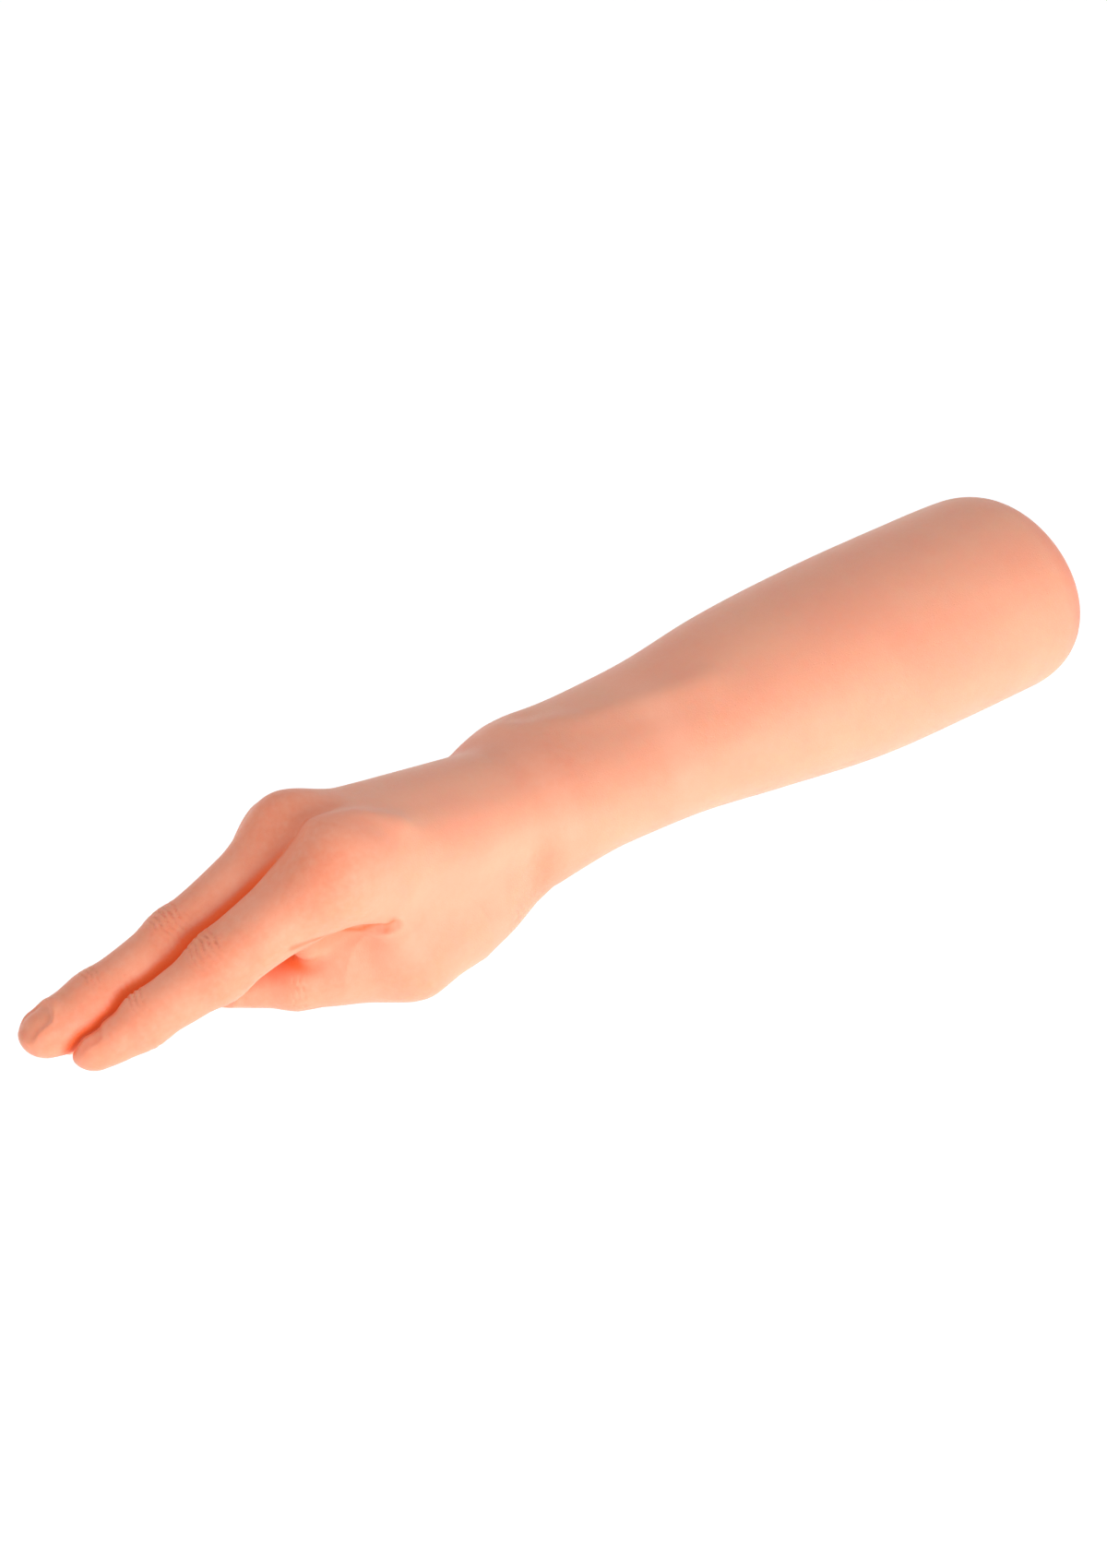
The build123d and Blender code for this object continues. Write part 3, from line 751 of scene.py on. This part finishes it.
def blend_weights(number, points, quads, others):
    """How much each point of a bending piece follows the second body. others says which it shares."""
    if PIECES[number] == "wrist":
        weights = ramp((points[:, 0] - WRIST_BEND[0]) / (WRIST_BEND[1] - WRIST_BEND[0]))
        held = {0: 0.0}
        rest = 1.0
    else:
        name, k = digit_and_part(number)
        on_web = PIECES[number] == "thumb_base"
        weights = web_weight(number, points, others) if on_web else hinge_weight(points, name, k)
        held = {number + 1: 1.0} if k < 2 else {}
        rest = 0.0
    for other, value in held.items():
        weights[others[other]] = value
    # A point that touches a third piece must not move away from it.
    for other, shared in others.items():
        if other not in held:
            weights[shared] = rest
    fixed = np.any(list(others.values()), 0)
    return relax(weights, fixed, quads, bend_rounds(number))


def seam_distance(points, edge):
    """How far each point is from the piece's own edge."""
    tree = KDTree(len(edge))
    for i, place in enumerate(edge):
        tree.insert(place, i)
    tree.balance()
    return np.array([tree.find(place)[2] for place in points])


# How much pinker the skin is at a digit's three joints and its tip.
FLUSHED = (0.6, 0.4, 0.2, 0.3)
# How far out the skin is probed for facing skin, near and far, to find where shade is painted in folds.
FOLD_SHADE_LOOKS = (3.0, 9.0)
# The line where the web's skin turns under the index finger, and the width and strength of the shade painted along
# it.
WEB_FOLD = (
    (-300.6, -30.5, 2.5),
    (-294.0, -31.2, 2.6),
    (-288.0, -31.4, 1.8),
    (-281.6, -28.5, -0.9),
    (-277.9, -29.8, -0.8),
    (-275.2, -31.9, 0.8),
    (-271.6, -36.1, 2.8),
)
WEB_FOLD_WIDTH = 1.3
WEB_FOLD_PAINTED_SHADE = 0.75


def flush(p):
    """Where the skin is pinker: knuckles, finger joints and tips, the wrist and the forearm's far part."""
    total = np.zeros(len(p))
    for name in DIGITS:
        for i, amount in enumerate(FLUSHED):
            _, back, _ = finger_axes(name, min(i, 2))
            centre = POINTS[name][i] + back * RADII[name][i] * (0.8 if i < 3 else 0.0)
            total += bump(p, centre, 1.15 * RADII[name][i], amount)
    total += bump(p, WRIST + np.array((-16, -10, 16)), 18, 0.35)
    total += 0.55 * ramp((WRIST[0] - 70 - p[:, 0]) / 40)
    return np.clip(total, 0, 1)


def painted_fold_shade(p, outward):
    """Painted shade in folds: how deep each point lies, 0 in the open, 1 where skin faces skin."""
    near, far = [np.clip(1 - in_chunks(skin_field, p + d * outward) / d, 0, 1) for d in FOLD_SHADE_LOOKS]
    web = ridge(p, [np.array(point) for point in WEB_FOLD], WEB_FOLD_WIDTH, WEB_FOLD_PAINTED_SHADE)
    return np.clip(near + 0.6 * far + web, 0, 1)


def build_piece(number, points, outward, quads, values):
    """One piece of skin as a Blender object, with its smooth directions and its painted values."""
    mesh = bpy.data.meshes.new(f"skin_{PIECES[number]}")
    mesh.from_pydata((points / MM).tolist(), [], quads.tolist())
    mesh.shade_smooth()
    mesh.normals_split_custom_set_from_vertices(outward.tolist())
    rest = mesh.attributes.new("rest", "FLOAT_VECTOR", "POINT")
    rest.data.foreach_set("vector", points.astype(np.float32).ravel())
    for label, value in values.items():
        attribute = mesh.attributes.new(label, "FLOAT", "POINT")
        attribute.data.foreach_set("value", value.astype(np.float32))
    piece = bpy.data.objects.new(f"skin_{PIECES[number]}", mesh)
    bpy.context.scene.collection.objects.link(piece)
    return piece


def piece_bodies(number):
    """The body or the two bodies that a piece follows, and the CAD skins that it stands for."""
    if PIECES[number] == "forearm":
        return ["forearm"], ["forearm_skin", "forearm_filler"]
    if PIECES[number] == "wrist":
        return ["forearm", "hand"], []
    if PIECES[number] == "palm":
        return ["hand"], ["palm_skin", "palm_filler"]
    name, k = digit_and_part(number)
    bones = ("metacarpal", "proximal", "distal") if name == "thumb" else ("proximal", "middle", "distal")
    first = "hand" if k == 0 else f"{name}_{bones[k - 1]}"
    return [first, f"{name}_{bones[k]}"], [f"{name}_{bones[k]}_skin"]


def build_skin(material):
    """Meshes the skin, cuts it into pieces, ties each one-body piece to its body and works out the others' bend
    weights.
    """
    points, outward, quads = skin_mesh()
    of_quad = keep_apart(piece_numbers(points[quads].mean(1)), quads, len(points))
    tint = in_chunks(flush, points)
    # Painted shade: how deep in a fold each point is, for the darker orange painted into folds.
    fold = painted_fold_shade(points, outward)
    members = []
    for number in range(len(PIECES)):
        belongs = np.zeros(len(points), bool)
        belongs[quads[of_quad == number]] = True
        members.append(belongs)
    shared = np.sum(members, 0) > 1
    for number, belongs in enumerate(members):
        index = np.cumsum(belongs) - 1
        own = index[quads[of_quad == number]]
        p = points[belongs]
        # The fold value is the painted shade in folds.
        values = {"flush": tint[belongs], "fold": fold[belongs]}
        values["from_seam"] = seam_distance(p, p[shared[belongs]])
        piece = build_piece(number, p, outward[belongs], own, values)
        piece.data.materials.append(material)
        others = {n: m[belongs] for n, m in enumerate(members) if n != number and (m & belongs).any()}
        tie_piece(piece, number, p, own, others)


def tie_piece(piece, number, points, quads, others):
    """Makes a piece follow its one body, or works out its bend weights between its two."""
    bodies, stood_for = piece_bodies(number)
    if stood_for:
        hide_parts(*stood_for)
    if len(bodies) == 1:
        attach(piece, bodies[0])
        return
    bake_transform(piece)
    weights = blend_weights(number, points, quads, others)


# ---- Materials.


def new_material(name):
    material = bpy.data.materials.new(name)
    material.use_nodes = True
    return material, material.node_tree, material.node_tree.nodes["Principled BSDF"]


def add(tree, kind, inputs=None, **settings):
    """A node with its settings, and its inputs either set or linked."""
    node = tree.nodes.new(kind)
    for key, value in settings.items():
        setattr(node, key, value)
    for key, value in (inputs or {}).items():
        if isinstance(value, bpy.types.NodeSocket):
            tree.links.new(value, node.inputs[key])
        else:
            node.inputs[key].default_value = value
    return node


def noise(tree, place, scale, detail=2.0, rough=0.5):
    inputs = {"Vector": place, "Scale": scale, "Detail": detail, "Roughness": rough}
    return add(tree, "ShaderNodeTexNoise", inputs).outputs["Fac"]


def remap(tree, value, low, high, to_low=0.0, to_high=1.0):
    inputs = {"Value": value, "From Min": low, "From Max": high, "To Min": to_low, "To Max": to_high}
    return add(tree, "ShaderNodeMapRange", inputs).outputs["Result"]


def mix_colour(tree, factor, a, b):
    node = add(tree, "ShaderNodeMix", data_type="RGBA")
    for socket, value in zip((node.inputs[0], node.inputs[6], node.inputs[7]), (factor, a, b)):
        if isinstance(value, bpy.types.NodeSocket):
            tree.links.new(value, socket)
        else:
            socket.default_value = value
    return node.outputs[2]


def calculate(tree, operation, a, b):
    return add(tree, "ShaderNodeMath", {0: a, 1: b}, operation=operation).outputs[0]


def srgb(r, g, b):
    """A colour given as 0 to 255 values, as the linear value that nodes take."""
    parts = [c / 255 for c in (r, g, b)]
    return [c / 12.92 if c <= 0.04045 else ((c + 0.055) / 1.055) ** 2.4 for c in parts] + [1.0]


SKIN = srgb(249, 169, 140)
SKIN_PALE = srgb(250, 176, 146)
SKIN_FLUSH = srgb(247, 143, 104)
# Painted shade: the darker orange of the folds.
SKIN_FOLD_SHADE = srgb(236, 100, 54)
# Painted light: the warm glow of the deepest folds.
FOLD_PAINTED_LIGHT = srgb(240, 146, 72)


def painted(tree, name, output="Fac"):
    """A value that the skin's mesh holds at each point."""
    return add(tree, "ShaderNodeAttribute", attribute_name=name).outputs[output]


def skin_colour(tree, place, fold):
    """Pale and darker blotches, pinker where the skin is flushed, and painted orange shade in the folds."""
    blotch = remap(tree, noise(tree, place, 0.045, 3.0, 0.55), 0.35, 0.65)
    mottle = remap(tree, noise(tree, place, 0.4, 4.0, 0.6), 0.3, 0.7)
    colour = mix_colour(tree, blotch, SKIN, SKIN_PALE)
    spread = remap(tree, mottle, 0, 1, 0.35, 0.75)
    pink = calculate(tree, "MULTIPLY", painted(tree, "flush"), spread)
    colour = mix_colour(tree, pink, colour, SKIN_FLUSH)
    speckle = remap(tree, mottle, 0, 1, 0.0, 0.12)
    colour = mix_colour(tree, speckle, colour, SKIN_FLUSH)
    # Painted shade: darker orange where skin faces skin in the folds.
    return mix_colour(tree, remap(tree, fold, 0.12, 1.0, 0.0, 0.95), colour, SKIN_FOLD_SHADE)


def skin_relief(tree, place):
    """Fine lines, pores and grain."""
    cells = add(tree, "ShaderNodeTexVoronoi", {"Vector": place, "Scale": 1.15}, feature="DISTANCE_TO_EDGE")
    lines = remap(tree, cells.outputs["Distance"], 0.0, 0.16)
    pores = add(tree, "ShaderNodeTexVoronoi", {"Vector": place, "Scale": 0.75})
    pits = remap(tree, pores.outputs["Distance"], 0.06, 0.2)
    grain = noise(tree, place, 2.2, 3.0, 0.6)
    height = calculate(tree, "ADD", calculate(tree, "MULTIPLY", lines, 0.35), pits)
    height = calculate(tree, "ADD", height, calculate(tree, "MULTIPLY", grain, 0.9))
    relief = add(tree, "ShaderNodeBump", {"Strength": 0.35, "Distance": 0.00012, "Height": height})
    return relief.outputs["Normal"]


def skin_material():
    """Soft translucent skin-coloured polymer, with a faint painted warm light glowing in its deepest folds.

    No light goes under the skin near a seam between pieces, so that the seam can't show."""
    material, tree, shader = new_material("soft_skin_moulded")
    place = painted(tree, "rest", "Vector")
    # How deep in a fold each point is: it drives the painted shade and the painted glow in folds.
    fold = painted(tree, "fold")
    gloss = remap(tree, noise(tree, place, 0.9, 3.0), 0.3, 0.7, 0.42, 0.56)
    linked = {
        "Base Color": skin_colour(tree, place, fold),
        "Roughness": gloss,
        "Subsurface Weight": remap(tree, painted(tree, "from_seam"), 2.0, 8.0, 0.0, 0.75),
        # Painted light: a faint warm glow from the deepest folds.
        "Emission Strength": remap(tree, fold, 0.4, 1.0, 0.0, 0.12),
        "Normal": skin_relief(tree, place),
    }
    for name, value in linked.items():
        tree.links.new(value, shader.inputs[name])
    plain = {
        "Specular IOR Level": 0.5,
        "Sheen Weight": 0.12,
        "Sheen Roughness": 0.4,
        "Subsurface Radius": (1.0, 0.38, 0.22),
        "Subsurface Scale": 0.0022,
        # The colour of the painted warm light in the folds.
        "Emission Color": FOLD_PAINTED_LIGHT,
    }
    for name, value in plain.items():
        shader.inputs[name].default_value = value
    return material


def metal_material(name, colour, rough, stretch):
    """Metal with fine tool marks that run along the stretched direction."""
    material, tree, shader = new_material(name)
    place = add(tree, "ShaderNodeTexCoord").outputs["Object"]
    lined = add(tree, "ShaderNodeMapping", {"Vector": place, "Scale": stretch}).outputs["Vector"]
    marks = noise(tree, lined, 1.0, 4.0, 0.6)
    worn = noise(tree, place, 90.0, 3.0)
    shade = [c * 0.82 for c in colour[:3]] + [1.0]
    tone = mix_colour(tree, remap(tree, worn, 0.35, 0.65), shade, colour)
    tree.links.new(tone, shader.inputs["Base Color"])
    tree.links.new(remap(tree, marks, 0.3, 0.7, rough - 0.08, rough + 0.1), shader.inputs["Roughness"])
    shader.inputs["Metallic"].default_value = 1.0
    relief = add(tree, "ShaderNodeBump", {"Strength": 0.25, "Distance": 0.00005, "Height": marks})
    tree.links.new(relief.outputs["Normal"], shader.inputs["Normal"])
    return material


def plastic_material(name, colour, rough, scale):
    """Matt moulded plastic or foam with a fine grain."""
    material, tree, shader = new_material(name)
    place = add(tree, "ShaderNodeTexCoord").outputs["Object"]
    grain = noise(tree, place, scale, 5.0, 0.65)
    shade = [c * 0.85 for c in colour[:3]] + [1.0]
    tone = mix_colour(tree, remap(tree, grain, 0.3, 0.7), shade, colour)
    tree.links.new(tone, shader.inputs["Base Color"])
    tree.links.new(remap(tree, grain, 0.3, 0.7, rough - 0.08, rough + 0.08), shader.inputs["Roughness"])
    relief = add(tree, "ShaderNodeBump", {"Strength": 0.4, "Distance": 0.0002, "Height": grain})
    tree.links.new(relief.outputs["Normal"], shader.inputs["Normal"])
    return material


def dress_cad_nodes():
    """Gives every CAD node that stays a finished material, by the record's slot."""
    along = (60.0, 2500.0, 2500.0)
    materials = {
        "armature_metal": metal_material("armature_aluminium", srgb(200, 202, 204), 0.38, along),
        "steel": metal_material("pin_steel", srgb(176, 178, 182), 0.3, along),
        "bush_metal": metal_material("bush_steel", srgb(188, 188, 190), 0.34, (2500.0, 900.0, 900.0)),
        "nylon": plastic_material("washer_nylon", srgb(236, 235, 228), 0.5, 1500.0),
        "foam": plastic_material("filler_foam", srgb(238, 222, 186), 0.8, 900.0),
        "soft_skin": plastic_material("skin_blank", srgb(240, 180, 150), 0.6, 900.0),
    }
    slots = {part["node"]: part["material_slot"] for part in frame["record"]["subparts"]}
    for name, node in frame["nodes"].items():
        node.data.materials.clear()
        node.data.materials.append(materials[slots[name]])


# ---- The camera, the floor and the light, placed from the CAD box.

CENTRE = (Vector(CAD_BOX[0]) + Vector(CAD_BOX[1])) / 2
AZIMUTH, ELEVATION = math.radians(-36.0), math.radians(33.0)
BACK = Vector(
    (
        math.sin(AZIMUTH) * math.cos(ELEVATION),
        -math.cos(AZIMUTH) * math.cos(ELEVATION),
        math.sin(ELEVATION),
    )
)
RIGHT = Vector((math.cos(AZIMUTH), math.sin(AZIMUTH), 0.0))
UP = BACK.cross(RIGHT)
VIEW_TARGET = Vector((WRIST[0] / MM - 0.002, 0.0, -0.002))
VIEW_DISTANCE = 1.0
LENS_MM = 77.1
# Each softbox: its place from the middle of the object, its size, its power and its colour.
LIGHTS = {
    "key": (BACK * 0.68 - UP * 0.36 + RIGHT * 0.58, (0.7, 0.45), 6.1, (1.0, 0.93, 0.85)),
    "top": (Vector((-0.3, 0.5, 1.1)), (1.2, 1.2), 1.9, (1.0, 0.97, 0.96)),
}
WORLD_COLOUR = (0.96, 0.98, 1.0, 1.0)
WORLD_STRENGTH = 0.58
FLOOR_SHADES = ((0.66, 0.66, 0.66, 1.0), (0.68, 0.68, 0.68, 1.0))
FLOOR_GLOW = 0.6
FLOOR_REACH = 40.0
# Room below the object for the wrist to bend all the way.
FLOOR_DROP = 0.14


def facing(direction):
    """The rotation that turns an object's back side, +Z, to a direction."""
    return direction.to_track_quat("Z", "Y").to_euler()


def set_camera():
    data = bpy.data.cameras.new("camera")
    data.lens = LENS_MM
    data.clip_start = 0.01
    camera = bpy.data.objects.new("camera", data)
    camera.location = VIEW_TARGET + BACK * VIEW_DISTANCE
    camera.rotation_euler = facing(BACK)
    bpy.context.scene.collection.objects.link(camera)
    bpy.context.scene.camera = camera


def area_light(name, offset, size, watts, colour):
    """A rectangular softbox that looks at the middle of the object."""
    data = bpy.data.lights.new(name, "AREA")
    data.shape = "RECTANGLE"
    data.size, data.size_y = size
    data.energy = watts
    data.color = colour
    light = bpy.data.objects.new(name, data)
    light.location = CENTRE + offset
    light.rotation_euler = facing(offset)
    bpy.context.scene.collection.objects.link(light)


def set_world():
    world = bpy.data.worlds.new("studio")
    world.use_nodes = True
    background = world.node_tree.nodes["Background"]
    background.inputs["Color"].default_value = WORLD_COLOUR
    background.inputs["Strength"].default_value = WORLD_STRENGTH
    bpy.context.scene.world = world


def floor_material():
    """A matt white floor that glows a little, as an evenly lit backdrop does."""
    material, tree, shader = new_material("floor_white")
    place = add(tree, "ShaderNodeTexCoord").outputs["Object"]
    grain = noise(tree, place, 8.0, 2.0)
    pale = mix_colour(tree, grain, *FLOOR_SHADES)
    tree.links.new(pale, shader.inputs["Base Color"])
    tree.links.new(remap(tree, grain, 0.3, 0.7, 0.7, 0.8), shader.inputs["Roughness"])
    shader.inputs["Emission Color"].default_value = (1.0, 1.0, 1.0, 1.0)
    shader.inputs["Emission Strength"].default_value = FLOOR_GLOW
    return material


def set_floor(height):
    """A wide plain floor."""
    mesh = bpy.data.meshes.new("floor")
    signs = ((-1, -1), (1, -1), (1, 1), (-1, 1))
    corners = [(FLOOR_REACH * x, FLOOR_REACH * y, height) for x, y in signs]
    mesh.from_pydata(corners, [], [(0, 1, 2, 3)])
    mesh.materials.append(floor_material())
    floor = bpy.data.objects.new("floor", mesh)
    bpy.context.scene.collection.objects.link(floor)


build_skin(skin_material())
dress_cad_nodes()
bounds = [list(corner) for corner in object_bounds()]
set_floor(bounds[0][2] - FLOOR_DROP)
set_world()
for name, settings in LIGHTS.items():
    area_light(name, *settings)
set_camera()
bpy.context.scene.view_settings.view_transform = "Standard"
